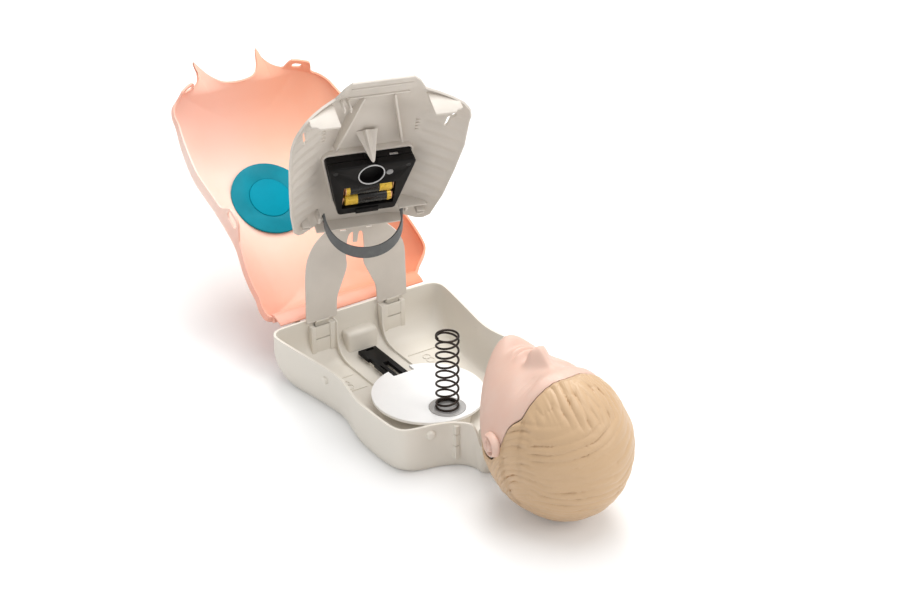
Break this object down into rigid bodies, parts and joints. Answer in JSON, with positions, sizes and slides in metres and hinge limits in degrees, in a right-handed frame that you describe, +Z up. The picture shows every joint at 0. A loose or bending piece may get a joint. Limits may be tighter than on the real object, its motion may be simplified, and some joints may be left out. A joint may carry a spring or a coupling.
{
  "type": "cpr training manikin",
  "caption": "Folding head-and-torso CPR trainer, shown open: tray with spring, peach chest skin, ribbed chest plate with sensor box, and a head with moulded hair.",
  "frame": {"origin": "on the underside of the tray, in the middle of its foot", "axes": "+X to the tray's right seen from the head, +Y from the head to the waist hinge, +Z up"},
  "size_m": [0.2246, 0.7102, 0.3521],
  "materials": {
    "tray_plastic": "fine moulded texture",
    "white_plastic": "satin moulded",
    "seat_plastic": "translucent grey moulding",
    "spring_steel": "dark oiled wire",
    "black_plastic": "satin black moulding",
    "skin_vinyl": "soft satin moulding",
    "pad_rim_plastic": "frosted rim",
    "teal_plastic": "satin moulding",
    "rib_plastic": "satin moulding",
    "grey_print": "thin light grey ring",
    "screw_steel": "blackened",
    "board": "coated board",
    "bright_steel": "drawn bright",
    "cell_wrap": "printed wrap without words",
    "contact_metal": "copper coloured spring metal",
    "strap_rubber": "matt grey",
    "face_vinyl": "soft satin moulding",
    "hair_plastic": "satin moulding",
    "core_plastic": "plain moulding"
  },
  "bodies": {
    "base": {"back_shell": "tray_plastic", "spring_plate": "white_plastic", "spring_seat": "seat_plastic", "compression_spring": "spring_steel", "neck_bracket": "tray_plastic", "neck_pin": "bright_steel", "leg_clip_left": "rib_plastic", "leg_clip_right": "rib_plastic", "skin_hinge_rod": "bright_steel"},
    "slide": {"clicker_slide": "black_plastic"},
    "skin": {"chest_skin": "skin_vinyl", "pad_ring": "pad_rim_plastic", "pad_disc": "teal_plastic"},
    "legs": {"leg_sheet": "rib_plastic"},
    "plate": {"chest_plate": "rib_plastic", "sensor_case": "black_plastic", "sensor_cover": "black_plastic", "target_ring": "grey_print", "status_lamp": "seat_plastic", "battery_1": "cell_wrap", "battery_2": "cell_wrap", "contact_1a": "contact_metal", "contact_1b": "contact_metal", "contact_2a": "contact_metal", "contact_2b": "contact_metal", "screw_left": "screw_steel", "screw_right": "screw_steel", "battery_latch": "black_plastic", "circuit_board": "board", "usb_port": "bright_steel"},
    "strap": {"strap": "strap_rubber"},
    "head": {"head_shell": "hair_plastic", "face_skin": "face_vinyl", "head_core": "core_plastic"}
  },
  "joints": [
    {"name": "skin_hinge", "type": "hinge", "parent": "base", "child": "skin", "pos_m": [0, 0.1705, 0.0528], "axis": [1, 0, 0], "range_deg": [-30, 25]},
    {"name": "leg_hinge", "type": "hinge", "parent": "base", "child": "legs", "pos_m": [0, 0.1458, 0.0508], "axis": [1, 0, 0], "range_deg": [-15, 30]},
    {"name": "plate_hinge", "type": "hinge", "parent": "legs", "child": "plate", "pos_m": [-0.0012, 0.1396, 0.1549], "axis": [0.9659, -0.2588, 0], "range_deg": [-15, 20]},
    {"name": "strap_swing", "type": "hinge", "parent": "plate", "child": "strap", "pos_m": [-0.0071, 0.1176, 0.1749], "axis": [0.9659, -0.2588, 0], "range_deg": [-15, 25]},
    {"name": "head_tilt", "type": "hinge", "parent": "base", "child": "head", "pos_m": [0, -0.14, 0.05], "axis": [1, 0, 0], "range_deg": [-25, 3]},
    {"name": "slide", "type": "slide", "parent": "base", "child": "slide", "axis": [0, 1, 0], "range_m": [-0.006, 0.002]}
  ]
}
